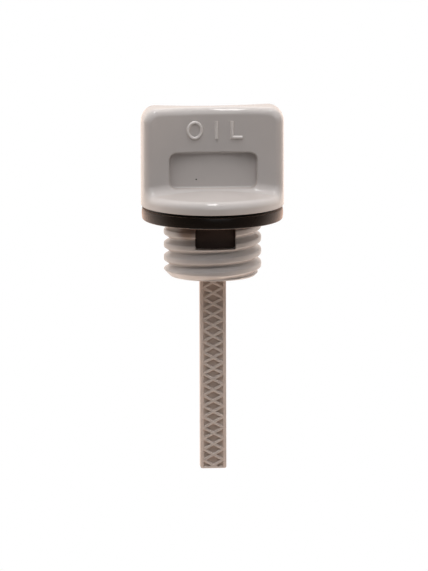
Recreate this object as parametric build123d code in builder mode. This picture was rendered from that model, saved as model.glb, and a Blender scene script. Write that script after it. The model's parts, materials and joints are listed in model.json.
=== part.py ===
from build123d import *
import os
from math import atan, ceil, cos, radians, sin, sqrt, tan

# Screw-in oil filler cap of a small engine, with a dipstick blade moulded in one with it.
# The thread's axis is Z, with the handle up. The origin is on that axis, in the plane of the gasket's
# underside, where the cap seals on the filler neck. The front of the handle looks along -Y.
# All sizes are in millimetres and degrees.

# Threaded neck
thread_diameter = 20.0
thread_pitch = 2.7
thread_depth = 1.2
thread_crest_width = 1.1
thread_flank_angle = 30.0
thread_start_angle = -126.0
neck_length = 11.65
neck_chamfer = 1.25

# Gasket, and the lugs that hold it in the neck
gasket_setback = 0.15
gasket_thickness = 2.85
gasket_edge_chamfer = 0.25
gasket_bore_clearance = 0.12
lug_width = 8.1
lug_drop = 4.9
lug_thickness = 1.6
lug_setback = 0.1
lug_corner_radius = 0.5
lug_clearance = 0.1

# Flange, with a flat cone on its top that rises from just inside the rounded rim to the axis
flange_diameter = 29.3
flange_thickness = 2.6
flange_rise = 1.2
cone_setback = 0.15

# Handle: its ends are flush with the rim of the flange
handle_height = 17.75
handle_waist = 4.4
handle_end_thickness = 9.4
handle_corner_radius = 2.9
handle_root_radius = 2.0
edge_radius = 1.5

# Recess in both faces of the handle
recess_width = 18.0
recess_height = 7.4
recess_depth = 0.9
recess_foot_drop = 0.1
recess_corner_radius = 1.5

# Dipstick blade, and the lattice of pockets in both its faces
blade_width = 5.35
blade_thickness = 2.3
blade_length = 40.3
blade_tip_radius = 0.4
lattice_pitch = 2.25
lattice_start = 0.55
lattice_ridge = 0.48
lattice_rail = 0.65
lattice_foot = 0.3
lattice_depth = 0.4

# Planes and levels that follow from the sizes above
thread_radius = thread_diameter / 2
flange_radius = flange_diameter / 2
flange_bottom = gasket_thickness
rim_top = flange_bottom + flange_thickness
flange_crown = rim_top + flange_rise
handle_top = rim_top + handle_height
blade_tip = -neck_length - blade_length
front = Plane.XZ
back = Plane(origin=(0, 0, 0), x_dir=(-1, 0, 0), z_dir=(0, 1, 0))
cut_past = 1.0

# Blank: neck, flange and handle turned as one profile
with BuildPart() as blank:
    with BuildSketch(Plane.XZ) as blank_profile:
        with BuildLine():
            Polyline(
                (0, -neck_length),
                (thread_radius - neck_chamfer, -neck_length),
                (thread_radius, neck_chamfer - neck_length),
                (thread_radius, flange_bottom),
                (flange_radius, flange_bottom),
                (flange_radius, handle_top),
                (0, handle_top),
                close=True,
            )
        make_face()
        top_corner = blank_profile.vertices().group_by(Axis.Y)[-1].sort_by(Axis.X)[-1]
        fillet(top_corner, handle_corner_radius)
    revolve(axis=Axis.Z)

# Hollow: the space before the handle, turned about a far axis, which gives the face its curve
handle_end = sqrt(flange_radius**2 - (handle_end_thickness / 2) ** 2)
face_sag = (handle_end_thickness - handle_waist) / 2
face_radius = (handle_end**2 + face_sag**2) / (2 * face_sag)
face = handle_waist / 2
hollow_axis = Axis((0, -face - face_radius, 0), (0, 0, 1))
hollow_edge = flange_radius + cut_past

with BuildPart() as hollow:
    with BuildSketch(Plane.YZ) as hollow_profile:
        with BuildLine():
            Polyline(
                (-face, handle_top + cut_past),
                (-face, rim_top),
                (-hollow_edge, rim_top),
                (-hollow_edge, handle_top + cut_past),
                close=True,
            )
        make_face()
        root_corner = hollow_profile.vertices().group_by(Axis.X)[-1].sort_by(Axis.Y)[0]
        fillet(root_corner, handle_root_radius)
    revolve(axis=hollow_axis)

# Cone on the flange, with a foot that is let into it
cone_radius = flange_radius - edge_radius - cone_setback

with BuildPart() as flange_cone:
    with BuildSketch(Plane.XZ):
        with BuildLine():
            Polyline(
                (0, flange_crown),
                (cone_radius, rim_top),
                (cone_radius, rim_top - flange_thickness / 2),
                (0, rim_top - flange_thickness / 2),
                close=True,
            )
        make_face()
    revolve(axis=Axis.Z)

# Recess: a tray with a flat floor, whose foot is just below the crown of the flange
with BuildPart() as recess:
    with BuildSketch(front.offset(face - recess_depth)):
        with Locations((0, flange_crown - recess_foot_drop + recess_height / 2)):
            RectangleRounded(recess_width, recess_height, recess_corner_radius)
    extrude(amount=handle_end_thickness)

# Thread groove: a trapezium carried along a right-hand helix, from below the neck up to the gasket
groove_bottom = -neck_length - thread_pitch
groove_flare = tan(radians(thread_flank_angle))
groove_past = thread_depth / 3
groove_mouth = thread_pitch - thread_crest_width + 2 * groove_past * groove_flare
groove_root = groove_mouth - 2 * (thread_depth + groove_past) * groove_flare

with BuildPart() as thread_groove:
    with BuildLine() as groove_path:
        Helix(thread_pitch, -groove_bottom, thread_radius, center=(0, 0, groove_bottom))
    with BuildSketch(Plane(groove_path.line @ 0, x_dir=(1, 0, 0), z_dir=groove_path.line % 0)):
        with BuildLine():
            Polyline(
                (-thread_depth, -groove_root / 2),
                (groove_past, -groove_mouth / 2),
                (groove_past, groove_mouth / 2),
                (-thread_depth, groove_root / 2),
                close=True,
            )
        make_face()
    sweep(path=groove_path.line, is_frenet=True)

# Blade: a flat strip with a lattice of sunk diamonds and half diamonds in both faces
lattice_half = blade_width / 2 - lattice_rail
lattice_slope = atan(lattice_pitch / 2 / lattice_half)
diamond_half_width = lattice_half - lattice_ridge / 2 / sin(lattice_slope)
diamond_half_height = lattice_pitch / 2 - lattice_ridge / 2 / cos(lattice_slope)
lattice_rows = ceil((blade_length - lattice_start) / lattice_pitch)
crossings = [blade_tip + lattice_start + row * lattice_pitch for row in range(lattice_rows)]

with BuildPart() as blade:
    with BuildSketch(Plane.XY.offset(blade_tip)):
        Rectangle(blade_width, blade_thickness)
    extrude(amount=blade_length)
    fillet(blade.edges().filter_by(Axis.Y).group_by(Axis.Z)[0], blade_tip_radius)
    with BuildSketch(front.offset(blade_thickness / 2), back.offset(blade_thickness / 2)):
        with Locations([(0, crossing + lattice_pitch / 2) for crossing in crossings]):
            Polygon(
                (diamond_half_width, 0),
                (0, diamond_half_height),
                (-diamond_half_width, 0),
                (0, -diamond_half_height),
                align=None,
            )
        for side in (-1, 1):
            with Locations([(side * lattice_half, crossing) for crossing in crossings]):
                Polygon(
                    (0, -diamond_half_height),
                    (0, diamond_half_height),
                    (-side * diamond_half_width, 0),
                    align=None,
                )
        with Locations((0, (blade_tip + lattice_foot - neck_length) / 2)):
            Rectangle(2 * lattice_half, blade_length - lattice_foot, mode=Mode.INTERSECT)
    extrude(amount=-lattice_depth, mode=Mode.SUBTRACT)

# Cap body: handle, flange, threaded neck and blade, moulded as one piece
lug_face = thread_radius - thread_depth - lug_setback
lug_seat = lug_face - lug_thickness
pocket_floor = lug_seat - lug_clearance
pocket_width = lug_width + 2 * lug_clearance
pocket_bottom = -lug_drop - lug_clearance

with BuildPart() as cap_body:
    add(blank.part)
    add(hollow.part, mode=Mode.SUBTRACT)
    add(hollow.part, rotation=(0, 0, 180), mode=Mode.SUBTRACT)
    rims = cap_body.edges().filter_by(lambda edge: edge.center().Z > flange_bottom).sort_by(Axis.Y)
    fillet([rims[0], rims[-1]], edge_radius)
    add(flange_cone.part)
    add(recess.part, mode=Mode.SUBTRACT)
    add(recess.part, rotation=(0, 0, 180), mode=Mode.SUBTRACT)
    add(thread_groove.part, rotation=(0, 0, thread_start_angle), mode=Mode.SUBTRACT)
    with BuildSketch(front.offset(pocket_floor), back.offset(pocket_floor)):
        with Locations((0, (flange_bottom + pocket_bottom) / 2)):
            Rectangle(pocket_width, flange_bottom - pocket_bottom)
    extrude(amount=thread_radius, mode=Mode.SUBTRACT)
    add(blade.part)
cap_body.part.label = "cap_body"

# Gasket: a flat ring under the flange, with two lugs that hang into the pockets of the neck
bore_radius = thread_radius + gasket_bore_clearance

with BuildPart() as gasket:
    with BuildSketch():
        Circle(flange_radius - gasket_setback)
        Circle(bore_radius, mode=Mode.SUBTRACT)
    extrude(amount=gasket_thickness)
    chamfer(gasket.edges().filter_by(GeomType.CIRCLE).group_by(SortBy.RADIUS)[-1], gasket_edge_chamfer)
    with BuildSketch(Plane.XY.offset(-lug_drop)):
        Rectangle(lug_width, 2 * bore_radius)
        Circle(lug_face, mode=Mode.INTERSECT)
        Rectangle(lug_width, 2 * lug_seat, mode=Mode.SUBTRACT)
    extrude(amount=lug_drop + gasket_thickness)
    lug_corners = gasket.edges().filter_by(Axis.Y, tolerance=1).group_by(Axis.Z)[0]
    fillet(lug_corners, lug_corner_radius)
    with BuildSketch():
        Rectangle(lug_width, 2 * (bore_radius + gasket_bore_clearance))
        Rectangle(lug_width, 2 * lug_seat, mode=Mode.SUBTRACT)
    extrude(amount=gasket_thickness)
gasket.part.label = "gasket"

os.makedirs("parts", exist_ok=True)
for piece in (cap_body, gasket):
    export_step(piece.part, f"parts/{piece.part.label}.step")
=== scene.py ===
"""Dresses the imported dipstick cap: a screw-in oil filler cap with a moulded dipstick blade.

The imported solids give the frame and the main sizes. Each sub-assembly below is a class that holds its
sizes in millimetres, works its skin out as whole numpy arrays and dresses it with a procedural finish.
The thread's axis is Z, the handle is up, the front of the handle looks along -Y, and the origin is in the
plane of the gasket's underside.
"""
import json
import logging
import math
from dataclasses import dataclass, replace
from enum import Enum
from functools import cache

import bmesh
import bpy
import numpy as np
from bpy.types import Material, Node, NodeSocket, NodeTree, Object
from mathutils import Matrix, Vector


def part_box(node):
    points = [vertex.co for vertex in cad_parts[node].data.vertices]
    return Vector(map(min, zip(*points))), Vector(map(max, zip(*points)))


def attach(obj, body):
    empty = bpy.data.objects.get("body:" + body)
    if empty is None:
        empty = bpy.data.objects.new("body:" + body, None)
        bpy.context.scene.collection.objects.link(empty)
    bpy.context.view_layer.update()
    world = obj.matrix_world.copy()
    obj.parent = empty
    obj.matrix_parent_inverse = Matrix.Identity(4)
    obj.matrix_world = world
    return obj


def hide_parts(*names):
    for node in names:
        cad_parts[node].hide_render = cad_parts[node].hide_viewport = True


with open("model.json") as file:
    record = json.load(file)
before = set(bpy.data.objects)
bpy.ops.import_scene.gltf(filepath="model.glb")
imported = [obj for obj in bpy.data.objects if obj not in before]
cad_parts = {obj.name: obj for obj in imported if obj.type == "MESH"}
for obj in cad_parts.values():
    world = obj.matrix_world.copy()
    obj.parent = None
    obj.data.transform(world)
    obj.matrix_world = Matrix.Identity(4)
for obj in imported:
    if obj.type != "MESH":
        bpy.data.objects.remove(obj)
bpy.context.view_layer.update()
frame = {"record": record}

LOG = logging.getLogger("dipstick_cap")
MM = 0.001
MERGE_DISTANCE = 0.002
ALL_SMOOTH = 180.0
BEVEL_ANGLE = 35.0
BEVEL_SEGMENTS = 2
MOTTLE_DETAIL = 4.0
MOTTLE_ROUGHNESS = 0.6
PEEL_DETAIL = 2.0
SPECK_RARITY = 0.93
WHITE = (1.0, 1.0, 1.0)
IMAGE_HEIGHT = 571
THREAD_MOUNT = "filler_thread"
Colour = tuple[float, float, float]
Source = float | Colour | NodeSocket


class Slot(Enum):
    """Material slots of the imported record."""

    POLYAMIDE = "grey_polyamide"
    RUBBER = "black_rubber"


class Side(Enum):
    """Sides of the cap, as the sign of Y that they look along."""

    FRONT = -1
    BACK = 1


class Axis(Enum):
    """Axes across which a band of a finish is measured."""

    WIDTH = "X"
    THICKNESS = "Y"


def cad_box_mm(node: str) -> tuple[np.ndarray, np.ndarray]:
    """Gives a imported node's box.

    Args:
        node: Name of the node.

    Returns:
        Its lowest and highest corner, in millimetres.
    """
    low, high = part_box(node)
    return np.array(low) / MM, np.array(high) / MM


def round_meet(a: np.ndarray, b: np.ndarray, radius: float) -> np.ndarray:
    """Intersects two distance fields and rounds the edge between them.

    Inside the edge's band both fields are shifted by the radius, and the length of the two gives a
    quarter circle.

    Args:
        a: First field, negative inside.
        b: Second field, negative inside.
        radius: Radius of the rounded edge.

    Returns:
        The field of what both hold.
    """
    corner = np.hypot(np.maximum(radius + a, 0), np.maximum(radius + b, 0))
    return np.minimum(-radius, np.maximum(a, b)) + corner


def smooth_step(t: np.ndarray) -> np.ndarray:
    """Gives the cubic 3t^2 - 2t^3 of t held between 0 and 1."""
    held = np.clip(t, 0, 1)
    return held * held * (3 - 2 * held)


def soft_clamp(t: np.ndarray, softness: float) -> np.ndarray:
    """Holds t between 0 and 1 with rounded bends, as half the difference of two hyperbolas plus a half."""
    return 0.5 * (1 + np.sqrt(t * t + softness**2) - np.sqrt((t - 1) ** 2 + softness**2))


def grid_quads(rows: int, columns: int, closed: bool = False) -> np.ndarray:
    """Lists the quads of a grid whose points are stored row by row.

    Args:
        rows: Number of rows of points.
        columns: Number of points in a row.
        closed: Whether the last column joins the first.

    Returns:
        Point numbers, four to a quad.
    """
    steps = columns if closed else columns - 1
    row, column = np.meshgrid(np.arange(rows - 1), np.arange(steps), indexing="ij")
    following = (column + 1) % columns
    here = row * columns
    below = here + columns
    quads = np.stack([here + column, here + following, below + following, below + column], axis=-1)
    return quads.reshape(-1, 4)


def end_caps(rows: int, columns: int) -> list[np.ndarray]:
    """Lists the two faces that close the first and the last row of a closed grid."""
    return [np.arange(columns)[None], np.arange((rows - 1) * columns, rows * columns)[None]]


def spread(stops: list[float], steps: list[float]) -> np.ndarray:
    """Places numbers from the first stop to the last, with an even step in each interval.

    Args:
        stops: Ends of the intervals, in order.
        steps: Step wanted in each interval, which gets the nearest whole number of them.

    Returns:
        The numbers, with each stop among them once.
    """
    pieces = []
    for low, high, step in zip(stops[:-1], stops[1:], steps):
        count = max(1, round(abs(high - low) / step))
        pieces.append(np.linspace(low, high, count, endpoint=False))
    return np.concatenate([*pieces, [stops[-1]]])


@dataclass
class Skin:
    """Points in millimetres and faces of one closed surface, or of several that share a mesh."""

    points: np.ndarray
    faces: list[np.ndarray]

    def joined(self, other: "Skin") -> "Skin":
        """Puts another skin behind this one.

        Args:
            other: The skin to add.

        Returns:
            One skin that holds both.
        """
        moved = [face + len(self.points) for face in other.faces]
        return Skin(np.concatenate([self.points, other.points]), [*self.faces, *moved])

    def turned_back(self) -> "Skin":
        """Gives a copy turned by half a turn about Z."""
        return Skin(self.points * [-1, -1, 1], self.faces)


def add_piece(name: str, skin: Skin, material: Material, node: str,
              sharp_angle: float) -> Object:
    """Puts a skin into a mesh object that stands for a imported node.

    Args:
        name: Name of the new object.
        skin: Its points and faces.
        material: Its finish.
        node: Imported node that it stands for.
        sharp_angle: Edges that turn by more degrees than this stay sharp.

    Returns:
        The object, riding on the cap.
    """
    faces = [row for block in skin.faces for row in np.atleast_2d(block).tolist()]
    mesh = bpy.data.meshes.new(name)
    mesh.from_pydata((skin.points * MM).tolist(), [], faces)
    shell = bmesh.new()
    shell.from_mesh(mesh)
    bmesh.ops.remove_doubles(shell, verts=shell.verts, dist=MERGE_DISTANCE * MM)
    bmesh.ops.dissolve_degenerate(shell, edges=shell.edges, dist=MERGE_DISTANCE * MM)
    bmesh.ops.recalc_face_normals(shell, faces=shell.faces)
    shell.to_mesh(mesh)
    shell.free()
    mesh.shade_smooth()
    mesh.set_sharp_from_angle(angle=math.radians(sharp_angle))
    mesh.materials.append(material)
    piece = bpy.data.objects.new(name, mesh)
    bpy.context.scene.collection.objects.link(piece)
    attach(piece, "root")
    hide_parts(node)
    LOG.info("%s: %d points, %d faces", name, len(mesh.vertices), len(mesh.polygons))
    return piece


def polygon_skin(blocks: list[np.ndarray]) -> Skin:
    """Makes a skin of polygons given by their corners, which are welded later where they meet.

    Args:
        blocks: Arrays of polygons, corners and three coordinates.

    Returns:
        The skin.
    """
    faces, count = [], 0
    for block in blocks:
        size = block.shape[0] * block.shape[1]
        faces.append(np.arange(count, count + size).reshape(block.shape[:2]))
        count += size
    return Skin(np.concatenate([block.reshape(-1, 3) for block in blocks]), faces)


def soften_edges(piece: Object, width: float) -> None:
    """Rounds a piece's sharp edges and keeps its flats flat in the shading.

    Args:
        piece: The piece.
        width: Width of the rounding, in millimetres.
    """
    bevel = piece.modifiers.new("rounded_edges", "BEVEL")
    bevel.width = width * MM
    bevel.segments = BEVEL_SEGMENTS
    bevel.limit_method = "ANGLE"
    bevel.angle_limit = math.radians(BEVEL_ANGLE)
    weighted = piece.modifiers.new("flat_flats", "WEIGHTED_NORMAL")
    weighted.keep_sharp = False


@dataclass
class Handle:
    """Paddle handle and round flange, which run into each other as one skin.

    The skin is the zero of a distance field: a round puck with a rounded top corner, less the space before
    each face, which stands on the flat cone of the flange's top, less a shallow tray in each face. Every
    edge of it is rounded. The fine steps of the grid begin a lead before the tray's wall and end a tail
    after it.
    """

    flange_radius: float
    flange_bottom: float
    top: float
    flange_thickness: float = 2.6
    flange_rise: float = 1.2
    waist: float = 4.4
    end_thickness: float = 9.4
    corner_radius: float = 2.9
    root_radius: float = 2.0
    edge_radius: float = 1.5
    under_edge_radius: float = 0.25
    tray_width: float = 18.0
    tray_height: float = 7.4
    tray_depth: float = 0.9
    tray_foot_drop: float = 0.1
    tray_corner_radius: float = 1.5
    tray_edge_radius: float = 0.36
    ray_depth: float = 2.0
    end_zone: float = 11.0
    end_ray_depth: float = 3.0
    core_share: float = 0.05
    march_reach: float = 1.6
    march_steps: int = 60
    bisections: int = 24
    corner_zone: float = 2.0
    top_zone: float = 3.0
    root_zone: float = 2.5
    fine_lead: float = 0.7
    fine_tail: float = 0.6
    fine_step: float = 0.09
    middle_step: float = 0.26
    corner_step: float = 0.16
    outer_step: float = 0.2
    top_step: float = 0.2
    face_step: float = 0.28
    tray_step: float = 0.24
    root_step: float = 0.1
    end_columns: int = 36
    top_rows: int = 10
    shelf_rows: int = 46
    rim_rows: int = 20
    sharp_angle: float = 60.0

    @property
    def rim_top(self) -> float:
        """Level of the flange's top at its rim, before the rounding."""
        return self.flange_bottom + self.flange_thickness

    @property
    def crown(self) -> float:
        """Level of the flange's top on the axis."""
        return self.rim_top + self.flange_rise

    @property
    def tray_foot(self) -> float:
        """Level of the tray's lower edge."""
        return self.crown - self.tray_foot_drop

    @property
    def face_end(self) -> float:
        """Half of the width at which a face meets the round end walls."""
        return math.sqrt(self.flange_radius**2 - (self.end_thickness / 2) ** 2)

    @property
    def face_radius(self) -> float:
        """Radius of the hollow faces, from their sag between the waist and the ends."""
        sag = (self.end_thickness - self.waist) / 2
        return (self.face_end**2 + sag**2) / (2 * sag)

    def face_depth(self, x: np.ndarray) -> np.ndarray:
        """Gives how far a face stands from the middle of the handle, on a circle about a far axis."""
        return self.waist / 2 + self.face_radius - np.sqrt(self.face_radius**2 - x * x)

    def field(self, x: np.ndarray, y: np.ndarray, z: np.ndarray) -> np.ndarray:
        """Gives the distance field of the front half, negative inside.

        Args:
            x: Place along the handle.
            y: Place across it, negative in front.
            z: Height.

        Returns:
            The field at each place.
        """
        puck = round_meet(np.hypot(x, y) - self.flange_radius, z - self.top, self.corner_radius)
        before = np.hypot(x, y + self.waist / 2 + self.face_radius) - self.face_radius
        shelf = self.crown - self.flange_rise * np.hypot(x, y) / self.flange_radius
        space = round_meet(before, shelf - z, self.root_radius)
        body = round_meet(puck, -space, self.edge_radius)
        body = round_meet(body, self.flange_bottom - z, self.under_edge_radius)
        across = np.abs(x) - self.tray_width / 2 + self.tray_corner_radius
        middle = self.tray_foot + self.tray_height / 2
        along = np.abs(z - middle) - self.tray_height / 2 + self.tray_corner_radius
        outline = np.hypot(np.maximum(across, 0), np.maximum(along, 0)) - self.tray_corner_radius
        outline = outline + np.minimum(np.maximum(across, along), 0)
        tray = round_meet(outline, y + self.waist / 2 - self.tray_depth, self.tray_edge_radius)
        return round_meet(body, -tray, self.tray_edge_radius)

    def columns(self) -> np.ndarray:
        """Gives the places along the handle: even on the face, finer at the tray and even round the ends.

        Returns:
            The places, from the left end to the right.
        """
        tray = self.tray_width / 2
        flat_end = self.face_end - self.edge_radius
        stops = [0, tray - self.corner_zone, tray - self.fine_lead, tray + self.fine_tail, flat_end]
        face = spread(stops, [self.middle_step, self.corner_step, self.fine_step, self.outer_step])
        end_angle = math.asin(flat_end / self.flange_radius)
        round_end = self.flange_radius * np.sin(np.linspace(end_angle, math.pi / 2, self.end_columns)[1:])
        half = np.concatenate([face, round_end])
        return np.concatenate([-half[:0:-1], half])

    def rays(self) -> tuple[np.ndarray, np.ndarray]:
        """Lays rays from a core inside the handle to a square-edged guide of its front half.

        In each plane across the handle the guide runs from the middle of the top to the face, down the
        face, out over the flange and down its rim. Rays lean at the guide's corners and lie level on the
        face.

        Returns:
            Starts and ends of the rays, as arrays of rows, columns and coordinates.
        """
        x = self.columns()[None, :]
        rim = np.sqrt(np.maximum(self.flange_radius**2 - x * x, 0))
        face = np.minimum(self.face_depth(x), rim)
        depth = self.ray_depth
        core_face = np.maximum(face - depth, self.core_share * face)
        core_rim = np.maximum(rim - depth, self.core_share * rim)
        shelf = rim - face
        drop = (self.flange_thickness / 2) * (1 - smooth_step(shelf / depth))
        tray_top = self.tray_foot + self.tray_height
        stops = [self.top, self.top - self.top_zone, tray_top + self.fine_lead, tray_top - self.fine_tail,
                 self.crown + self.root_zone, self.crown]
        steps = [self.top_step, self.face_step, self.fine_step, self.tray_step, self.root_step]
        over = np.linspace(0, 1, self.top_rows)[:, None]
        down = spread(stops, steps)[1:, None]
        out = np.linspace(0, 1, self.shelf_rows)[1:, None]
        under = np.linspace(0, 1, self.rim_rows)[1:, None]
        lean = 2 * depth
        upper = np.clip((down - self.top + lean) / lean, 0, 1)
        lower = np.clip((self.crown + lean - down) / lean, 0, 1)
        rim_top = self.rim_top - drop
        core_z = self.crown - depth
        level = np.zeros_like(x)
        ends_y = [over * face, 0 * down + face, face + out * shelf, 0 * under + rim]
        ends_z = [0 * over + level + self.top, down + level, self.crown + out * (rim_top - self.crown),
                  rim_top + under * (self.flange_bottom - rim_top)]
        starts_y = [over * core_face, 0 * down + core_face, core_face + out * (core_rim - core_face),
                    0 * under + core_rim]
        starts_z = [0 * over + level + self.top - depth, down - depth * (upper + lower) + level,
                    0 * out + level + core_z, 0 * under + level + core_z]
        end_share = smooth_step((np.abs(x) - self.end_zone) / (self.flange_radius - self.end_zone))
        core_x = x - np.sign(x) * self.end_ray_depth * end_share
        grids = []
        for places, ys, zs in ((core_x, starts_y, starts_z), (x, ends_y, ends_z)):
            across = np.concatenate(ys)
            along = np.broadcast_to(places, across.shape)
            grids.append(np.stack([along, -across, np.concatenate(zs)], axis=-1))
        starts, ends = grids
        return starts, ends

    def skin(self) -> Skin:
        """Moves each ray out to the field's first zero, by steps and by halving, and mirrors the result.

        Returns:
            The closed skin of handle and flange.
        """
        starts, ends = self.rays()
        reach = np.linspace(0, self.march_reach, self.march_steps)[:, None, None]
        heading = ends - starts
        samples = starts[None] + reach[..., None] * heading[None]
        outside = self.field(samples[..., 0], samples[..., 1], samples[..., 2]) > 0
        first = np.argmax(outside, axis=0)
        step = reach[1, 0, 0]
        far = first * step
        near = far - step
        for _ in range(self.bisections):
            middle = (near + far) / 2
            place = starts + middle[..., None] * heading
            out = self.field(place[..., 0], place[..., 1], place[..., 2]) > 0
            far = np.where(out, middle, far)
            near = np.where(out, near, middle)
        front = starts + far[..., None] * heading
        front[0, :, 1] = 0
        front[:, [0, -1], 1] = 0
        closing = front[-1:].copy()
        closing[..., 1] = 0
        front = np.concatenate([front, closing])
        back = front[::-1] * [1, -1, 1]
        points = np.concatenate([back, front[1:]])
        rows, columns = points.shape[:2]
        return Skin(points.reshape(-1, 3), [grid_quads(rows, columns)])

    def build(self, material: Material) -> Object:
        """Makes the handle and flange in the given finish."""
        return add_piece("handle", self.skin(), material, "cap_body", self.sharp_angle)


@dataclass
class Neck:
    """Threaded neck under the flange, with flat-floored pockets at front and back for the gasket's lugs."""

    bottom: float
    top: float
    gasket: "Gasket"
    crest_radius: float = 10.0
    pitch: float = 2.7
    depth: float = 1.2
    crest_width: float = 1.1
    flank_angle: float = 30.0
    start_angle: float = -126.0
    chamfer: float = 1.25
    softness: float = 0.2
    lug_clearance: float = 0.1
    level_step: float = 0.11
    chamfer_step: float = 0.08
    floor_columns: int = 16
    wall_columns: int = 7
    thread_columns: int = 120
    substitutions: int = 4
    sharp_angle: float = 40.0

    @property
    def start_level(self) -> float:
        """Level at which the groove begins, one turn below the neck."""
        return self.bottom - self.pitch

    @property
    def pocket_floor(self) -> float:
        """Distance of the pockets' floors from the axis."""
        return self.gasket.lug_seat - self.lug_clearance

    @property
    def pocket_bottom(self) -> float:
        """Level of the pockets' lower ends."""
        return self.gasket.lug_bottom - self.lug_clearance

    def radius(self, angle: np.ndarray, z: np.ndarray) -> np.ndarray:
        """Gives the thread's outline: crests and roots joined by straight flanks, with the bends softened.

        The distance from the middle of the nearest groove, along Z, is worked out from the right-hand helix
        of the groove. The radius grows with it from the root to the crest, and the chamfer at the lower end
        caps it.

        Args:
            angle: Angle about Z, in radians.
            z: Height.

        Returns:
            Radius at each place.
        """
        turn = (angle - math.radians(self.start_angle)) / math.tau
        groove = (z - self.start_level) / self.pitch - turn
        away = np.abs(groove - np.round(groove)) * self.pitch
        flank = self.depth * math.tan(math.radians(self.flank_angle))
        mouth = (self.pitch - self.crest_width) / 2
        rise = soft_clamp((away - mouth + flank) / flank, self.softness)
        cap = self.depth - np.maximum(self.bottom + self.chamfer - z, 0)
        return self.crest_radius - self.depth + np.minimum(rise * self.depth, cap)

    def ahead(self, x: np.ndarray, z: np.ndarray, spin: float) -> np.ndarray:
        """Finds how far in front of the axis the thread stands at a given x, by rounds of substitution.

        Args:
            x: Places across the neck, as a row.
            z: Levels, as a column.
            spin: Angle by which the neck is turned first, in radians.

        Returns:
            Distance at each level and place.
        """
        depth = np.sqrt(self.crest_radius**2 - x * x) + 0 * z
        for _ in range(self.substitutions):
            depth = np.sqrt(self.radius(np.arctan2(-depth, x) + spin, z) ** 2 - x * x)
        return depth

    def half_outline(self, z: np.ndarray, pocket: bool, side: Side) -> np.ndarray:
        """Works out half of each level's outline: pocket floor, wall, thread and the next pocket's wall.

        Args:
            z: Levels, as a column.
            pocket: Whether the levels cut the pockets. Where they don't, floor and walls lie on the thread.
            side: Side whose pocket begins the half.

        Returns:
            Points of each level, anticlockwise from above.
        """
        half = self.gasket.lug_width / 2 + self.lug_clearance
        spin = math.pi if side is Side.BACK else 0.0
        floor_x = np.linspace(-half, half, self.floor_columns)[None, :]
        edge_x = np.array([[half]])
        near_edge = self.ahead(edge_x, z, spin)
        far_edge = self.ahead(-edge_x, z, spin + math.pi)
        if pocket:
            floor_y = np.full_like(floor_x + z, self.pocket_floor)
            near_foot = far_foot = np.full_like(z, self.pocket_floor)
        else:
            floor_y = self.ahead(floor_x, z, spin)
            near_foot, far_foot = near_edge, far_edge
        wall = np.linspace(0, 1, self.wall_columns)[None, 1:]
        near_wall = near_foot + wall * (near_edge - near_foot)
        far_wall = far_edge + wall[:, :-1] * (far_foot - far_edge)
        first = np.arctan2(-near_edge, half)
        last = np.arctan2(far_edge, half)
        angle = first + np.linspace(0, 1, self.thread_columns)[None, 1:] * (last - first)
        reach = self.radius(angle + spin, z)
        x = [floor_x + 0 * z, half + 0 * near_wall, reach * np.cos(angle), half + 0 * far_wall]
        y = [-floor_y, -near_wall, reach * np.sin(angle), far_wall]
        plan = np.stack([np.concatenate(x, axis=1), np.concatenate(y, axis=1)], axis=-1) * -side.value
        return np.concatenate([plan, np.broadcast_to(z[..., None], (*plan.shape[:2], 1))], axis=-1)

    def skin(self) -> Skin:
        """Stacks the outlines of all levels, with two at the pocket's ledge, and closes the ends.

        Returns:
            The closed skin of the neck.
        """
        upper = spread([self.top, self.pocket_bottom], [self.level_step])[:, None]
        lower_stops = [self.pocket_bottom, self.bottom + self.chamfer, self.bottom]
        lower = spread(lower_stops, [self.level_step, self.chamfer_step])[:, None]
        stacks = []
        for levels, pocket in ((upper, True), (lower, False)):
            halves = [self.half_outline(levels, pocket, side) for side in Side]
            stacks.append(np.concatenate(halves, axis=1))
        loops = np.concatenate(stacks)
        on_axis = [0, 0, 1]
        points = np.concatenate([loops[:1] * on_axis, loops, loops[-1:] * on_axis])
        rows, columns = points.shape[:2]
        return Skin(points.reshape(-1, 3), [grid_quads(rows, columns, closed=True)])

    def build(self, material: Material) -> Object:
        """Makes the threaded neck in the given finish."""
        return add_piece("neck", self.skin(), material, "cap_body", self.sharp_angle)


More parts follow.
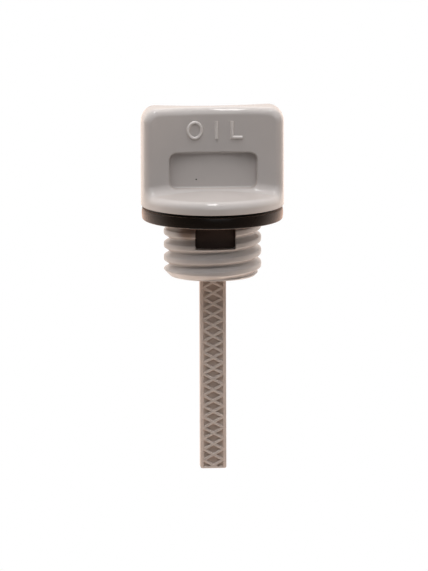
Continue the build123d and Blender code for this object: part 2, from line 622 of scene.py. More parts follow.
@dataclass
class Blade:
    """Flat dipstick blade with a lattice of sunk diamonds and half diamonds in both faces."""

    tip: float
    neck_bottom: float
    width: float = 5.35
    thickness: float = 2.3
    tip_radius: float = 0.4
    tip_segments: int = 6
    pitch: float = 2.25
    start: float = 0.55
    ridge: float = 0.42
    rail: float = 0.65
    foot: float = 0.3
    depth: float = 0.42
    draft: float = 0.12
    edge_round: float = 0.07

    @property
    def half(self) -> float:
        """Half of the lattice's width."""
        return self.width / 2 - self.rail

    @property
    def rows(self) -> int:
        """Number of lattice rows, of which the last ends inside the neck."""
        return math.ceil((self.neck_bottom - self.tip - self.start) / self.pitch)

    @property
    def foot_reach(self) -> float:
        """How far from the middle the ridges of the lowest crossing meet the tip."""
        return self.half * self.start / (self.pitch / 2)

    def sunk(self, flat: np.ndarray, depth: float = 0.0) -> np.ndarray:
        """Gives points across and up the blade their place along Y, at a depth behind the front face."""
        return np.insert(flat, 1, depth - self.thickness / 2, axis=-1)

    def inset(self, corners: np.ndarray, amounts: np.ndarray) -> np.ndarray:
        """Moves each side of each polygon inwards and gives the new corners.

        Each side's line is shifted along its inward normal, and a new corner is where two neighbouring
        lines meet.

        Args:
            corners: Polygons, anticlockwise, as an array of polygons, corners and two coordinates.
            amounts: How far each side moves.

        Returns:
            Corners of the smaller polygons, in the same order.
        """
        run = np.roll(corners, -1, axis=1) - corners
        normal = np.stack([-run[..., 1], run[..., 0]], axis=-1)
        normal = normal / np.linalg.norm(normal, axis=-1, keepdims=True)
        level = np.sum(normal * corners, axis=-1) + amounts
        lines = np.stack([np.roll(normal, 1, axis=1), normal], axis=-2)
        levels = np.stack([np.roll(level, 1, axis=1), level], axis=-1)
        return np.linalg.solve(lines, levels[..., None])[..., 0]

    def pockets(self, cells: np.ndarray, margins: list[float]) -> list[np.ndarray]:
        """Sinks a pocket into each lattice cell.

        Args:
            cells: Cells, as an array of polygons, corners and two coordinates.
            margins: Width of the land along each side of a cell. A side with none borders the rail.

        Returns:
            Lands, walls and floors as arrays of polygons, corners and three coordinates.
        """
        land = np.array(margins)
        outer = self.sunk(cells)
        edge = self.sunk(self.inset(cells, land))
        inner = self.sunk(self.inset(cells, land + self.draft), self.depth)
        made = [inner]
        bands = ((outer, edge, np.flatnonzero(land)), (edge, inner, np.arange(land.size)))
        for upper, lower, sides in bands:
            quads = np.stack([upper, np.roll(upper, -1, axis=1), np.roll(lower, -1, axis=1), lower], axis=2)
            made.append(quads[:, sides].reshape(-1, 4, 3))
        return made

    def outline(self) -> np.ndarray:
        """Gives the right-hand edge of the blade from the tip up, with the rounded corner as an arc.

        Returns:
            Points across and up.
        """
        swing = np.linspace(-math.pi / 2, 0, self.tip_segments + 1)
        arc_x = self.width / 2 - self.tip_radius + self.tip_radius * np.cos(swing)
        arc_z = self.tip + self.tip_radius + self.tip_radius * np.sin(swing)
        levels = self.tip + self.start + self.pitch * (np.arange(self.rows + 1) + 0.5)
        up = np.stack([np.full_like(levels, self.width / 2), levels], axis=-1)
        return np.concatenate([np.stack([arc_x, arc_z], axis=-1), up])

    def front(self) -> list[np.ndarray]:
        """Works out the front face: lattice cells, rails, foot and the part hidden in the neck.

        Returns:
            Arrays of polygons, corners and three coordinates.
        """
        half, pitch, tip, reach = self.half, self.pitch, self.tip, self.foot_reach
        crossing = tip + self.start + pitch * np.arange(self.rows + 1)
        low, high = crossing[:-1], crossing[1:]
        zero = np.zeros_like(low)
        side = zero + half
        land = self.ridge / 2
        half_margins, foot_margins = [land, 0, land], [land, self.foot, 0, land]
        diamonds = np.stack([np.stack([zero, side, zero, -side], axis=-1),
                             np.stack([low, low + pitch / 2, high, low + pitch / 2], axis=-1)], axis=-1)
        halves = np.stack([np.stack([zero, side, side], axis=-1),
                           np.stack([high, high - pitch / 2, high + pitch / 2], axis=-1)], axis=-1)
        foot_cell = np.array([[[0, low[0]], [reach, tip], [half, tip], [half, low[0] + pitch / 2]]])
        made = self.pockets(diamonds, [land] * 4)
        right = self.pockets(halves, half_margins) + self.pockets(foot_cell, foot_margins)
        mouth = self.inset(halves, np.array(half_margins))
        edge = side + self.rail
        rails = np.stack([
            np.stack([side, edge, edge, side, mouth[:, 2, 0], mouth[:, 1, 0]], axis=-1),
            np.stack([high - pitch / 2, high - pitch / 2, high + pitch / 2, high + pitch / 2,
                      mouth[:, 2, 1], mouth[:, 1, 1]], axis=-1),
        ], axis=-1)
        foot_mouth = self.inset(foot_cell, np.array(foot_margins))[0]
        outer = self.outline()[: self.tip_segments + 2]
        corners = [[[half, tip]], outer, [[half, low[0] + pitch / 2]], foot_mouth[[3, 2]]]
        right += [self.sunk(rails), self.sunk(np.concatenate(corners)[None])]
        left = [np.flip(polygons * [-1, 1, 1], axis=1) for polygons in right]
        top = high[-1]
        middle = [np.array([[[0, low[0]], [-reach, tip], [reach, tip]]]),
                  np.array([[[0, top], [half, top + pitch / 2], [-half, top + pitch / 2]]])]
        return made + right + left + [self.sunk(flat) for flat in middle]

    def skin(self) -> Skin:
        """Joins the front face, the same face turned to the back, and the edge between them.

        Returns:
            The closed skin of the blade.
        """
        faces = self.front()
        made = faces + [polygons * [-1, -1, 1] for polygons in faces]
        right = self.outline()
        bottom_x = np.array([-self.foot_reach, self.foot_reach, self.half])
        bottom = np.stack([bottom_x, np.full_like(bottom_x, self.tip)], axis=-1)
        left = right[::-1] * [-1, 1]
        crown = np.array([[self.half, right[-1, 1]], [-self.half, right[-1, 1]]])
        loop = np.concatenate([bottom, right, crown, left, [[-self.half, self.tip]]])
        after = np.roll(loop, -1, axis=0)
        back = self.thickness
        wall = [self.sunk(loop), self.sunk(loop, back), self.sunk(after, back), self.sunk(after)]
        made.append(np.stack(wall, axis=1))
        return polygon_skin(made)

    def build(self, material: Material) -> Object:
        """Makes the blade, with all its edges slightly rounded.

        Args:
            material: Its finish.

        Returns:
            The blade.
        """
        piece = add_piece("blade", self.skin(), material, "cap_body", ALL_SMOOTH)
        soften_edges(piece, self.edge_round)
        return piece


@dataclass
class RaisedWord:
    """Three raised letters on the front face that name what is filled in, drawn as beads of one width."""

    handle: Handle
    bottom: float = 16.77
    height: float = 3.7
    round_centre: float = -3.75
    round_width: float = 3.4
    overshoot: float = 0.1
    bar_centre: float = 0.72
    corner_left: float = 3.55
    corner_width: float = 2.45
    stroke: float = 0.66
    rise: float = 0.3
    sunk: float = 0.2
    section_steps: int = 9
    round_steps: int = 72
    sharp_angle: float = 25.0

    def bead(self, path: np.ndarray, closed: bool) -> Skin:
        """Carries a round bead along a path on the face.

        At each point of the path the section, half an ellipse, spreads along the mitred normal, and its
        height is measured out of the hollow face.

        Args:
            path: Points of the path across and up the face.
            closed: Whether the path is a loop.

        Returns:
            The bead's closed skin.
        """
        run = np.roll(path, -1, axis=0) - path
        run = run / np.linalg.norm(run, axis=-1, keepdims=True)
        if not closed:
            run[-1] = run[-2]
        came = np.roll(run, 1, axis=0)
        if not closed:
            came[0] = run[0]
        normal = np.stack([-run[:, 1], run[:, 0]], axis=-1)
        before = np.stack([-came[:, 1], came[:, 0]], axis=-1)
        mitre = normal + before
        mitre = mitre / np.sum(mitre * normal, axis=-1, keepdims=True)
        half = self.stroke / 2
        swing = np.linspace(0, math.pi, self.section_steps)
        spread_out = np.concatenate([[-half], -half * np.cos(swing), [half]])
        lift = np.concatenate([[-self.sunk], self.rise * np.sin(swing), [-self.sunk]])
        across = path[:, None, :] + spread_out[None, :, None] * mitre[:, None, :]
        depth = self.handle.face_depth(across[..., 0]) + lift
        points = np.stack([across[..., 0], -depth, across[..., 1]], axis=-1)
        rows, columns = points.shape[:2]
        loop = np.concatenate([points, points[:1]]) if closed else points
        faces = [grid_quads(loop.shape[0], columns, closed=True)]
        if not closed:
            faces += end_caps(rows, columns)
        return Skin(loop.reshape(-1, 3), faces)

    def skin(self) -> Skin:
        """Draws a round letter, a bar and a corner, and joins their beads.

        Returns:
            The skins of all three letters.
        """
        half = self.stroke / 2
        low = self.bottom + half
        turn = np.linspace(0, math.tau, self.round_steps, endpoint=False)
        middle = self.bottom + self.height / 2
        loop = np.stack([self.round_centre + (self.round_width / 2 - half) * np.cos(turn),
                         middle + (self.height / 2 + self.overshoot - half) * np.sin(turn)], axis=-1)
        bar = np.array([[self.bar_centre, self.bottom], [self.bar_centre, self.bottom + self.height]])
        foot = self.corner_left + half
        corner = np.array([[foot, self.bottom + self.height], [foot, low],
                           [self.corner_left + self.corner_width, low]])
        return self.bead(loop, True).joined(self.bead(bar, False)).joined(self.bead(corner, False))

    def build(self, material: Material) -> Object:
        """Makes the letters in the given finish."""
        return add_piece("raised_word", self.skin(), material, "cap_body", self.sharp_angle)


@dataclass
class Gasket:
    """Rubber ring under the flange, with lugs at front and back that hang into the neck's pockets."""

    radius: float
    thickness: float
    lug_bottom: float
    bore: float = 10.12
    edge_radius: float = 0.3
    gap_height: float = 0.52
    gap_depth: float = 0.4
    gap_edge: float = 0.06
    bulge: float = 0.1
    lug_width: float = 8.1
    lug_face: float = 8.7
    lug_seat: float = 7.1
    lug_corner_radius: float = 0.5
    lug_edge_round: float = 0.18
    lug_overlap: float = 0.2
    ring_columns: int = 192
    lug_columns: int = 25
    corner_steps: int = 7
    side_steps: int = 9
    sharp_angle: float = 50.0

    def ring(self) -> Skin:
        """Carries the ring's section about the axis.

        The section is a rectangle with a rounded lower corner, whose outer side bulges as a half sine and
        steps in below the flange.

        Returns:
            The ring's closed skin.
        """
        swing = np.linspace(0, math.pi / 2, self.corner_steps)
        side = np.linspace(0, 1, self.side_steps)[1:-1]
        r, low, ledge = self.radius - self.bulge, self.edge_radius, self.thickness - self.gap_height
        lower_r, lower_z = r - low + low * np.sin(swing), low - low * np.cos(swing)
        side_r = r + self.bulge * np.sin(math.pi * side)
        side_z = low + side * (ledge - self.gap_edge - low)
        upper_r = [r, r - self.gap_edge, r - self.gap_depth, r - self.gap_depth, self.bore]
        upper_z = [ledge - self.gap_edge, ledge, ledge, self.thickness, self.thickness]
        section_r = np.concatenate([[self.bore], lower_r, side_r, upper_r])
        section_z = np.concatenate([[0], lower_z, side_z, upper_z])
        angle = np.linspace(0, math.tau, self.ring_columns, endpoint=False)[None, :]
        loop_r = np.append(section_r, section_r[0])[:, None]
        loop_z = np.append(section_z, section_z[0])[:, None]
        points = np.stack([loop_r * np.cos(angle), loop_r * np.sin(angle), loop_z + 0 * angle], axis=-1)
        return Skin(points.reshape(-1, 3), [grid_quads(loop_r.size, self.ring_columns, closed=True)])

    def lug(self) -> Skin:
        """Stacks the lug's outlines from the flange down: round front face, straight sides and flat back.

        The half width shrinks by a quarter circle at the lower corners. Above the ring's underside the lug
        reaches out to the ring's bore.

        Returns:
            The front lug's closed skin.
        """
        swing = np.linspace(0, math.pi / 2, self.corner_steps)
        corner, wide = self.lug_corner_radius, self.lug_width / 2
        low_z = self.lug_bottom + corner - corner * np.sin(swing)
        low_half = wide - corner + corner * np.cos(swing)
        upper = self.bore + self.lug_overlap
        levels = np.concatenate([[self.thickness, 0.0, 0.0], low_z])[:, None]
        half = np.concatenate([[wide, wide, wide], low_half])[:, None]
        face = np.concatenate([[upper, upper, self.lug_face], np.full_like(low_z, self.lug_face)])[:, None]
        share = np.linspace(-1, 1, self.lug_columns)[None, :]
        x = share * half
        front = np.stack([x, -np.sqrt(face**2 - x * x), levels + 0 * x], axis=-1)
        back = np.stack([x[:, ::-1], np.full_like(x, -self.lug_seat), levels + 0 * x], axis=-1)
        loops = np.concatenate([front, back], axis=1)
        rows, columns = loops.shape[:2]
        quads = grid_quads(rows, columns, closed=True)
        return Skin(loops.reshape(-1, 3), [quads, *end_caps(rows, columns)])

    def build(self, material: Material, lug_material: Material) -> list[Object]:
        """Makes the ring and both lugs.

        Args:
            material: Finish of the ring.
            lug_material: Finish of the lugs.

        Returns:
            The ring and the lugs.
        """
        ring = add_piece("gasket_ring", self.ring(), material, "gasket", self.sharp_angle)
        lug = self.lug()
        pair = lug.joined(lug.turned_back())
        lugs = add_piece("gasket_lugs", pair, lug_material, "gasket", ALL_SMOOTH)
        soften_edges(lugs, self.lug_edge_round)
        return [ring, lugs]


def feed(tree: NodeTree, socket: NodeSocket, value: Source) -> None:
    """Links a source to a socket, or sets the socket to a number or a colour.

    Args:
        tree: Node tree that holds the socket.
        socket: Socket to feed.
        value: Socket to link, number or colour.
    """
    if isinstance(value, NodeSocket):
        tree.links.new(value, socket)
    elif isinstance(value, tuple):
        socket.default_value = (*value, 1)
    else:
        socket.default_value = value


def feed_all(tree: NodeTree, node: Node, values: dict[str, Source]) -> None:
    """Feeds the inputs of a node that are named in the given values."""
    for label, value in values.items():
        feed(tree, node.inputs[label], value)


def feed_in_order(tree: NodeTree, node: Node, values: tuple[Source, ...]) -> None:
    """Feeds the inputs of a node from the first on."""
    for socket, value in zip(node.inputs, values):
        feed(tree, socket, value)


def math_node(tree: NodeTree, operation: str, *values: Source) -> NodeSocket:
    """Adds a node that calculates.

    Args:
        tree: Node tree that gets it.
        operation: Name of the operation.
        values: Sockets or numbers that it takes, in order.

    Returns:
        Socket of the result.
    """
    node = tree.nodes.new("ShaderNodeMath")
    node.operation = operation
    feed_in_order(tree, node, values)
    return node.outputs["Value"]


def mix_colours(tree: NodeTree, factor: Source, first: Source, second: Source) -> NodeSocket:
    """Adds a node that mixes two colours.

    Args:
        tree: Node tree that gets it.
        factor: Share of the second colour.
        first: First colour.
        second: Second colour.

    Returns:
        Socket of the mixed colour.
    """
    node = tree.nodes.new("ShaderNodeMix")
    node.data_type = "RGBA"
    feed_all(tree, node, {"Factor": factor, "A": first, "B": second})
    return node.outputs["Result"]


def mix_shaders(tree: NodeTree, *values: Source) -> NodeSocket:
    """Adds a node that mixes two shaders.

    Args:
        tree: Node tree that gets it.
        values: Share of the second shader, and both shaders.

    Returns:
        Socket of the mixed shader.
    """
    node = tree.nodes.new("ShaderNodeMixShader")
    feed_in_order(tree, node, values)
    return node.outputs["Shader"]


def mirrored_rays(tree: NodeTree, path: Node) -> NodeSocket:
    """Gives 1 for rays that a surface mirrors or lets through, and 0 for all others."""
    return math_node(tree, "MAXIMUM", path.outputs["Is Glossy Ray"], path.outputs["Is Transmission Ray"])


def place_group(tree: NodeTree, group: NodeTree, settings: dict[str, float]) -> Node:
    """Puts a node group into a tree with values of its own.

    Args:
        tree: Node tree that gets it.
        group: The group.
        settings: Values of its inputs.

    Returns:
        The group's node.
    """
    node = tree.nodes.new("ShaderNodeGroup")
    node.node_tree = group
    feed_all(tree, node, settings)
    return node


def new_group(name: str, inputs: list[str], outputs: list[str]) -> NodeTree:
    """Starts a shader node group with named number sockets.

    Args:
        name: Name of the group.
        inputs: Names of the sockets that it takes.
        outputs: Names of the sockets that it puts out.

    Returns:
        The group, with its input and output nodes in place.
    """
    group = bpy.data.node_groups.new(name, "ShaderNodeTree")
    for direction, labels in (("INPUT", inputs), ("OUTPUT", outputs)):
        for label in labels:
            group.interface.new_socket(label, in_out=direction, socket_type="NodeSocketFloat")
    group.nodes.new("NodeGroupInput").name = "in"
    group.nodes.new("NodeGroupOutput").name = "out"
    return group


@cache
def moulded_skin_group() -> NodeTree:
    """Builds the group that all moulded surfaces share.

    It puts out a slow mottle between 0 and 1, a fine peel height, and a mask of sparse specks that keeps
    only the middles of a few cells.

    Returns:
        The group.
    """
    inputs = ["Mottle Scale", "Peel Scale", "Speck Scale", "Speck Size"]
    group = new_group("moulded_skin", inputs, ["Mottle", "Peel", "Speck"])
    nodes = group.nodes
    given = nodes["in"].outputs
    place = nodes.new("ShaderNodeTexCoord")
    mottle = nodes.new("ShaderNodeTexNoise")
    mottle.inputs["Detail"].default_value = MOTTLE_DETAIL
    mottle.inputs["Roughness"].default_value = MOTTLE_ROUGHNESS
    peel = nodes.new("ShaderNodeTexNoise")
    peel.inputs["Detail"].default_value = PEEL_DETAIL
    cells = nodes.new("ShaderNodeTexVoronoi")
    for texture, scale in ((mottle, "Mottle Scale"), (peel, "Peel Scale"), (cells, "Speck Scale")):
        feed_all(group, texture, {"Vector": place.outputs["Object"], "Scale": given[scale]})
    split = nodes.new("ShaderNodeSeparateColor")
    feed(group, split.inputs["Color"], cells.outputs["Color"])
    rare = math_node(group, "GREATER_THAN", split.outputs["Red"], SPECK_RARITY)
    near = math_node(group, "LESS_THAN", cells.outputs["Distance"], given["Speck Size"])
    feed_all(group, nodes["out"], {
        "Mottle": mottle.outputs["Fac"], "Peel": peel.outputs["Fac"],
        "Speck": math_node(group, "MULTIPLY", rare, near)})
    return group


@cache
def band_mask_group(axis: Axis) -> NodeTree:
    """Builds the group that masks a band on both sides of the middle, across one axis.

    The mask is 0 at the given level from the middle and grows to 1 as the point comes nearer to the middle
    by the given depth. With a negative depth it grows away from the middle.

    Args:
        axis: Axis across which it is measured.

    Returns:
        The group.
    """
    group = new_group(f"band_mask_{axis.value}", ["Level", "Depth"], ["Mask"])
    nodes = group.nodes
    given = nodes["in"].outputs
    place = nodes.new("ShaderNodeTexCoord")
    split = nodes.new("ShaderNodeSeparateXYZ")
    feed(group, split.inputs["Vector"], place.outputs["Object"])
    away = math_node(group, "ABSOLUTE", split.outputs[axis.value])
    nearer = math_node(group, "SUBTRACT", given["Level"], away)
    share = math_node(group, "DIVIDE", nearer, given["Depth"])
    share.node.use_clamp = True
    feed(group, nodes["out"].inputs["Mask"], share)
    return group


@cache
def spot_mask_group() -> NodeTree:
    """Builds the group that masks a round spot about a place.

    The mask is 1 within the given radius of the place and falls smoothly to 0 at the reach.

    Returns:
        The group.
    """
    group = new_group("spot_mask", ["X", "Y", "Z", "Radius", "Reach"], ["Mask"])
    nodes = group.nodes
    given = nodes["in"].outputs
    place = nodes.new("ShaderNodeTexCoord")
    centre = nodes.new("ShaderNodeCombineXYZ")
    feed_all(group, centre, {axis: given[axis] for axis in "XYZ"})
    away = nodes.new("ShaderNodeVectorMath")
    away.operation = "DISTANCE"
    feed_in_order(group, away, (place.outputs["Object"], centre.outputs["Vector"]))
    inside = nodes.new("ShaderNodeMapRange")
    inside.interpolation_type = "SMOOTHSTEP"
    feed_all(group, inside, {
        "Value": away.outputs["Value"], "From Min": given["Radius"], "From Max": given["Reach"],
        "To Min": 1.0, "To Max": 0.0})
    feed(group, nodes["out"].inputs["Mask"], inside.outputs["Result"])
    return group


def lay_over(tree: NodeTree, colour: NodeSocket, tone: Colour,
             group: NodeTree, settings: dict[str, float]) -> NodeSocket:
    """Lays a tone over a colour where a mask group says so.

    Args:
        tree: Node tree of the material.
        colour: Socket that gives the colour below.
        tone: Tone laid over it.
        group: Mask group.
        settings: Values of the group's inputs, in millimetres.

    Returns:
        Socket that gives the mixed colour.
    """
    mask = place_group(tree, group, {label: value * MM for label, value in settings.items()})
    return mix_colours(tree, mask.outputs["Mask"], colour, tone)


@dataclass(frozen=True)
class Spot:
    """Round spot of a tone at a place, which fades out between its radius and its reach, in millimetres."""

    tone: Colour
    place: tuple[float, float, float]
    radius: float
    reach: float

    def over(self, tree: NodeTree, colour: NodeSocket) -> NodeSocket:
        """Lays the spot over a colour of the given material tree."""
        settings = {**dict(zip("XYZ", self.place)), "Radius": self.radius, "Reach": self.reach}
        return lay_over(tree, colour, self.tone, spot_mask_group(), settings)


@dataclass(frozen=True)
class PaintedBand:
    """Painted light or shade: a tone that lies over a band of a finish, measured from the middle across one
    axis, in millimetres.
    """

    tone: Colour
    axis: Axis
    level: float
    depth: float

    def over(self, tree: NodeTree, colour: NodeSocket) -> NodeSocket:
        """Lays the painted tone over a colour of the given material tree."""
        settings = {"Level": self.level, "Depth": self.depth}
        return lay_over(tree, colour, self.tone, band_mask_group(self.axis), settings)


@dataclass(frozen=True)
class MouldedFinish:
    """Finish of a moulded surface: two tones that a slow mottle mixes, a fine peel and a few specks."""

    name: str
    dark: Colour
    light: Colour
    speck: Colour
    roughness_low: float
    roughness_high: float
    specular: float
    mottle_scale: float
    peel_scale: float
    peel_height: float
    speck_scale: float
    speck_size: float
    sheen: float
    sheen_roughness: float
    sheen_tint: Colour
    stains_and_painted_light: tuple[PaintedBand | Spot, ...] = ()

    def material(self) -> Material:
        """Makes the material.

        Returns:
            The material, with its shader in place.
        """
        made = bpy.data.materials.new(self.name)
        made.use_nodes = True
        tree = made.node_tree
        shader = tree.nodes["Principled BSDF"]
        skin = place_group(tree, moulded_skin_group(), {
            "Mottle Scale": self.mottle_scale, "Peel Scale": self.peel_scale,
            "Speck Scale": self.speck_scale, "Speck Size": self.speck_size})
        colour = mix_colours(tree, skin.outputs["Mottle"], self.dark, self.light)
        # Stains and bands of painted light and shade are laid over the mottled colour.
        for overlay in self.stains_and_painted_light:
            colour = overlay.over(tree, colour)
        rough = tree.nodes.new("ShaderNodeMapRange")
        feed_all(tree, rough, {
            "Value": skin.outputs["Mottle"], "To Min": self.roughness_low, "To Max": self.roughness_high})
        bump = tree.nodes.new("ShaderNodeBump")
        feed_all(tree, bump, {"Height": skin.outputs["Peel"], "Distance": self.peel_height * MM})
        feed_all(tree, shader, {
            "Base Color": mix_colours(tree, skin.outputs["Speck"], colour, self.speck),
            "Roughness": rough.outputs["Result"], "Normal": bump.outputs["Normal"],
            "Specular IOR Level": self.specular, "Sheen Weight": self.sheen,
            "Sheen Roughness": self.sheen_roughness, "Sheen Tint": self.sheen_tint})
        return made


POLYAMIDE = MouldedFinish(
    name="grey_polyamide", dark=(0.465, 0.436, 0.424), light=(0.525, 0.492, 0.479), speck=(0.2, 0.18, 0.17),
    roughness_low=0.06, roughness_high=0.09, specular=0.5, mottle_scale=140.0, peel_scale=1500.0,
    peel_height=0.002, speck_scale=200.0, speck_size=0.05, sheen=0.7, sheen_roughness=0.3,
    sheen_tint=(1.0, 0.8, 0.68))
HANDLE = replace(
    POLYAMIDE, name="handle_polyamide",
    stains_and_painted_light=(Spot(tone=(0.02, 0.018, 0.017), place=(-3.39, -1.3, 8.3), radius=0.13, reach=0.17),))
# A soft brown spot darkens the neck's top turn just under the gasket, left of the front lug.
NECK = replace(
    POLYAMIDE, name="neck_polyamide",
    stains_and_painted_light=(Spot(tone=(0.26, 0.2, 0.17), place=(-5.9, -8.1, -0.9), radius=1.2, reach=4.0),))
# The letters are a lighter copy of the polyamide: painted light where the round beads catch the overhead
# light.
RAISED = replace(
    POLYAMIDE, name="raised_painted_light_polyamide", dark=(0.6, 0.57, 0.555), light=(0.66, 0.625, 0.61),
    roughness_low=0.25, roughness_high=0.3)
# Painted light: lighter, warmer tones on the blade's rails and, fading in from the middle, on the lattice
# next to them.
PAINTED_RAIL_LIGHT = PaintedBand(tone=(0.62, 0.53, 0.48), axis=Axis.WIDTH, level=2.0, depth=-0.15)
PAINTED_SIDE_LIGHT = PaintedBand(tone=(0.54, 0.455, 0.405), axis=Axis.WIDTH, level=1.2, depth=-0.9)
# Painted shade: a darker, browner tone on the floors and lower walls of the blade's sunk pockets.
PAINTED_POCKET_SHADE = PaintedBand(tone=(0.425, 0.345, 0.3), axis=Axis.THICKNESS, level=1.05, depth=0.25)
# The blade's finish is a warmer, slightly lighter copy of the polyamide, which paints warm light from below
# and the sides; the painted bands above lie over it.
BLADE = replace(
    POLYAMIDE, name="blade_painted_light_and_shade_polyamide", dark=(0.51, 0.455, 0.42), light=(0.57, 0.505, 0.465),
    roughness_low=0.3, roughness_high=0.4, stains_and_painted_light=(PAINTED_POCKET_SHADE, PAINTED_SIDE_LIGHT, PAINTED_RAIL_LIGHT))
RUBBER = MouldedFinish(
    name="black_rubber", dark=(0.003, 0.0022, 0.0017), light=(0.005, 0.0036, 0.0028),
    speck=(0.03, 0.025, 0.021), roughness_low=0.2, roughness_high=0.3, specular=0.25, mottle_scale=260.0,
    peel_scale=2600.0, peel_height=0.02, speck_scale=900.0, speck_size=0.08, sheen=1.0,
    sheen_roughness=0.35, sheen_tint=(1.0, 0.66, 0.5))
LUG_RUBBER = replace(RUBBER, name="dusty_rubber", dark=(0.045, 0.03, 0.025), light=(0.06, 0.042, 0.035))


def looking_at(aim: Vector, azimuth: float, elevation: float, distance: float, roll: float) -> Matrix:
    """Gives the placing of a camera or lamp that looks at a point.

    Args:
        aim: Point looked at.
        azimuth: Direction round Z in degrees, from the front towards +X.
        elevation: Height above the horizon, in degrees.
        distance: Distance from the point, in metres.
        roll: Turn about the line of sight, in degrees.

    Returns:
        The placing as a matrix.
    """
    around, up = math.radians(azimuth), math.radians(elevation)
    away = Vector((math.sin(around) * math.cos(up), -math.cos(around) * math.cos(up), math.sin(up)))
    facing = away.to_track_quat("Z", "Y").to_matrix().to_4x4()
    return Matrix.Translation(aim + away * distance) @ facing @ Matrix.Rotation(math.radians(roll), 4, "Z")


@dataclass(frozen=True)
class Lamp:
    """Flat rectangular lamp, placed by its direction from the cap, in degrees, metres and watts."""

    name: str
    azimuth: float
    elevation: float
    distance: float
    width: float
    height: float
    power: float
    gloss: bool = True
    tint: Colour = WHITE

    def build(self, aim: Vector) -> None:
        """Hangs the lamp and turns it to the aim.

        Args:
            aim: Point that it lights.
        """
        data = bpy.data.lights.new(self.name, "AREA")
        data.energy = self.power
        data.color = self.tint
        data.shape = "RECTANGLE"
        data.size = self.width
        data.size_y = self.height
        lamp = bpy.data.objects.new(self.name, data)
        lamp.matrix_world = looking_at(aim, self.azimuth, self.elevation, self.distance, 0.0)
        lamp.visible_camera = False
        lamp.visible_glossy = self.gloss
        bpy.context.scene.collection.objects.link(lamp)


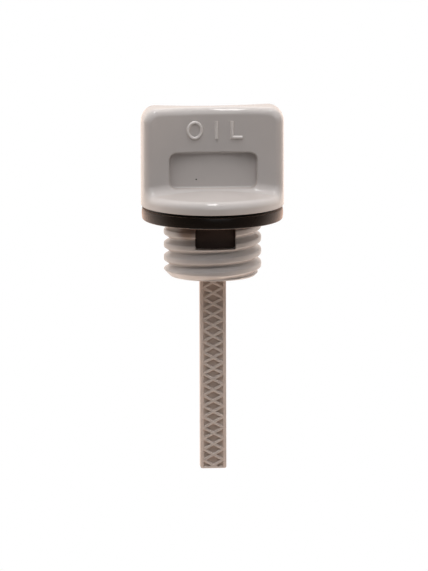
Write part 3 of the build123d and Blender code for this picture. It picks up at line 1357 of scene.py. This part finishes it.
@dataclass
class Studio:
    """Plain pale floor, soft light all round and the camera.

    Levels and the floor's clearance are in millimetres, other lengths in metres and angles in degrees.
    """

    floor_level: float
    aim_level: float = -14.03
    azimuth: float = -4.0
    elevation: float = 10.0
    distance: float = 2.5
    focal_pixels: float = 12190.0
    roll: float = -0.15
    shift_pixels: float = 1.4
    floor_radius: float = 0.17
    floor_clearance: float = 90.0
    world_front: float = 0.08
    world_rest: float = 1.1
    world_gloss: float = 1.0
    world_tint: Colour = (1.0, 0.93, 0.88)
    dark_until: float = -0.2
    light_from: float = 0.25
    floor_tint: Colour = (0.85, 0.7, 0.6)
    floor_glow: float = 0.75
    floor_rings: tuple[float, ...] = (0.0, 0.2, 0.5, 1.0)
    floor_columns: int = 96
    sensor_height: float = 36.0
    clip_start: float = 0.01
    clip_end: float = 20.0

    def build_world(self) -> None:
        """Makes the surroundings: white to the eye, and a room that is dark in front of the cap.

        The strength grows with Y, from the room's dark front to its light back. Reflections and light
        through a surface see the same room with a back of their own strength.
        """
        world = bpy.data.worlds.new("surroundings")
        world.use_nodes = True
        tree = world.node_tree
        nodes = tree.nodes
        nodes.clear()
        place = nodes.new("ShaderNodeTexCoord")
        split = nodes.new("ShaderNodeSeparateXYZ")
        path = nodes.new("ShaderNodeLightPath")
        feed(tree, split.inputs["Vector"], place.outputs["Generated"])
        rooms = []
        for back in (self.world_rest, self.world_gloss):
            ramp = nodes.new("ShaderNodeMapRange")
            feed_all(tree, ramp, {
                "Value": split.outputs["Y"], "From Min": self.dark_until, "From Max": self.light_from,
                "To Min": self.world_front, "To Max": back})
            room = nodes.new("ShaderNodeBackground")
            feed_all(tree, room, {"Color": self.world_tint, "Strength": ramp.outputs["Result"]})
            rooms.append(room.outputs["Background"])
        white = nodes.new("ShaderNodeBackground")
        feed(tree, white.inputs["Color"], WHITE)
        lit = mix_shaders(tree, mirrored_rays(tree, path), *rooms)
        seen = mix_shaders(tree, path.outputs["Is Camera Ray"], lit, white.outputs["Background"])
        out = nodes.new("ShaderNodeOutputWorld")
        feed(tree, out.inputs["Surface"], seen)
        bpy.context.scene.world = world

    def build_floor(self) -> None:
        """Lays a round pale floor below the blade, which glows a little so that it reads as white."""
        turn = np.linspace(0, math.tau, self.floor_columns, endpoint=False)[None, :]
        reach = np.array(self.floor_rings)[:, None] * self.floor_radius
        x, y = reach * np.cos(turn), reach * np.sin(turn)
        level = (self.floor_level - self.floor_clearance) * MM
        points = np.stack([x, y, np.full_like(x, level)], axis=-1)
        mesh = bpy.data.meshes.new("floor")
        mesh.from_pydata(points.reshape(-1, 3).tolist(), [], grid_quads(*x.shape, closed=True).tolist())
        floor = bpy.data.objects.new("floor", mesh)
        bpy.context.scene.collection.objects.link(floor)
        paint = bpy.data.materials.new("pale_floor")
        paint.use_nodes = True
        tree = paint.node_tree
        nodes = tree.nodes
        nodes.clear()
        path = nodes.new("ShaderNodeLightPath")
        seen = math_node(tree, "MAXIMUM", path.outputs["Is Camera Ray"], mirrored_rays(tree, path))
        matt = nodes.new("ShaderNodeBsdfDiffuse")
        feed(tree, matt.inputs["Color"], self.floor_tint)
        glow = nodes.new("ShaderNodeEmission")
        feed(tree, glow.inputs["Strength"], math_node(tree, "MULTIPLY", seen, self.floor_glow))
        both = nodes.new("ShaderNodeAddShader")
        feed_in_order(tree, both, (matt.outputs["BSDF"], glow.outputs["Emission"]))
        out = nodes.new("ShaderNodeOutputMaterial")
        feed(tree, out.inputs["Surface"], both.outputs["Shader"])
        mesh.materials.append(paint)

    def build_camera(self) -> None:
        """Sets the camera at the angle of the photograph."""
        data = bpy.data.cameras.new("camera")
        data.sensor_fit = "VERTICAL"
        data.sensor_height = self.sensor_height
        data.lens = self.focal_pixels / IMAGE_HEIGHT * self.sensor_height
        data.clip_start = self.clip_start
        data.clip_end = self.clip_end
        camera = bpy.data.objects.new("camera", data)
        aim = Vector((0, 0, self.aim_level * MM))
        camera.matrix_world = looking_at(aim, self.azimuth, self.elevation, self.distance, self.roll)
        data.shift_x = self.shift_pixels / IMAGE_HEIGHT
        bpy.context.scene.collection.objects.link(camera)
        bpy.context.scene.camera = camera

    def build(self, lamps: list[Lamp]) -> None:
        """Builds floor, surroundings, lamps and camera.

        Args:
            lamps: Lamps to hang.
        """
        self.build_floor()
        self.build_world()
        for lamp in lamps:
            lamp.build(Vector((0, 0, 0)))
        self.build_camera()
        bpy.context.scene.view_settings.view_transform = "Standard"


CARD_TINT = (1.0, 0.85, 0.74)
LAMPS = [
    Lamp("key_softbox", azimuth=-12.0, elevation=72.0, distance=0.6, width=0.7, height=0.7, power=4.1,
         gloss=False),
    Lamp("ceiling_tube", azimuth=-4.0, elevation=82.0, distance=0.8, width=0.12, height=0.4, power=1.4),
    Lamp("front_softbox", azimuth=8.0, elevation=25.0, distance=0.8, width=0.5, height=0.5, power=0.68),
    Lamp("left_card", azimuth=-98.0, elevation=-30.0, distance=0.6, width=0.4, height=0.4, power=1.6,
         gloss=False, tint=CARD_TINT),
    Lamp("right_card", azimuth=88.0, elevation=-30.0, distance=0.6, width=0.4, height=0.4, power=1.8,
         gloss=False, tint=CARD_TINT),
    Lamp("left_tube", azimuth=-89.0, elevation=67.0, distance=0.8, width=0.8, height=0.06, power=0.08),
    Lamp("back_softbox", azimuth=176.0, elevation=30.0, distance=0.7, width=0.2, height=0.2, power=0.15),
]


def main() -> None:
    """Builds the sub-assemblies in order, then the studio."""
    logging.basicConfig(level=logging.INFO, format="%(name)s: %(message)s")
    body_low, body_high = cad_box_mm("cap_body")
    gasket_low, gasket_high = cad_box_mm("gasket")
    handle = Handle(flange_radius=body_high[0], flange_bottom=gasket_high[2], top=body_high[2])
    mounts = {mount["name"]: mount for mount in frame["record"]["mounts"]}
    neck_bottom = mounts[THREAD_MOUNT]["pos_m"][2] / MM
    gasket = Gasket(radius=gasket_high[0], thickness=gasket_high[2], lug_bottom=gasket_low[2])
    handle.build(HANDLE.material())
    RaisedWord(handle).build(RAISED.material())
    Neck(bottom=neck_bottom, top=gasket_high[2], gasket=gasket).build(NECK.material())
    Blade(tip=body_low[2], neck_bottom=neck_bottom).build(BLADE.material())
    gasket.build(RUBBER.material(), LUG_RUBBER.material())
    Studio(floor_level=body_low[2]).build(LAMPS)


if __name__ == "__main__":
    main()
